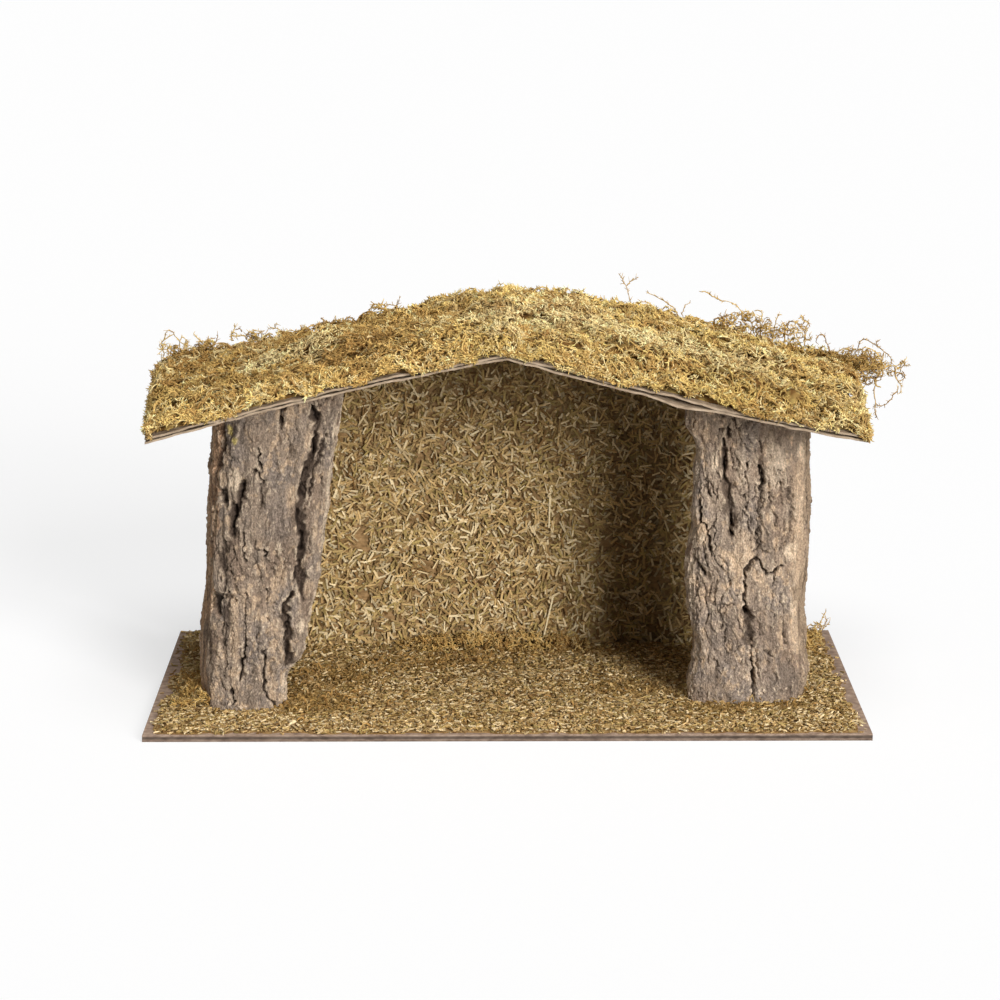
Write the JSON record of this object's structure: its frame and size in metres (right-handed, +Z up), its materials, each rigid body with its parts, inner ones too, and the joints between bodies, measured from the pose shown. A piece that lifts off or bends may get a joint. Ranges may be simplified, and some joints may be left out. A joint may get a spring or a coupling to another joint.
{
  "type": "nativity stable",
  "caption": "Open-fronted nativity stable: bark slab posts on a chaff-strewn hardboard base, a straw-coated gabled back wall and a folded board roof under dried moss.",
  "frame": {"origin": "centre of the base board's underside, on the table", "axes": "+X to the right seen from the open front, +Y to the back wall, +Z up"},
  "size_m": [0.3823, 0.18, 0.1973],
  "materials": {
    "hardboard": "matte",
    "bark": "matte",
    "kraft_liner": "matte",
    "fluting_paper": "matte",
    "moss": "matte",
    "straw": "matte",
    "chaff": "matte",
    "steel": "satin",
    "hot_melt": "satin"
  },
  "bodies": {
    "root": {"base_board": "hardboard", "back_panel": "hardboard", "left_bark_post": "bark", "right_bark_post": "bark", "roof_bottom_liner": "kraft_liner", "roof_fluting": "fluting_paper", "roof_top_liner": "kraft_liner", "roof_moss_left_lower_front": "moss", "roof_moss_left_lower_back": "moss", "roof_moss_left_upper_front": "moss", "roof_moss_left_upper_back": "moss", "roof_moss_right_lower_front": "moss", "roof_moss_right_lower_back": "moss", "roof_moss_right_upper_front": "moss", "roof_moss_right_upper_back": "moss", "left_corner_sprigs": "moss", "right_corner_sprigs": "moss", "wall_straw": "straw", "floor_litter": "chaff", "wall_foot_moss": "moss", "left_post_moss": "moss", "right_rear_moss": "moss", "post_nails": "steel", "roof_staples": "steel", "panel_glue_bead": "hot_melt", "gable_glue_beads": "hot_melt"}
  },
  "joints": []
}
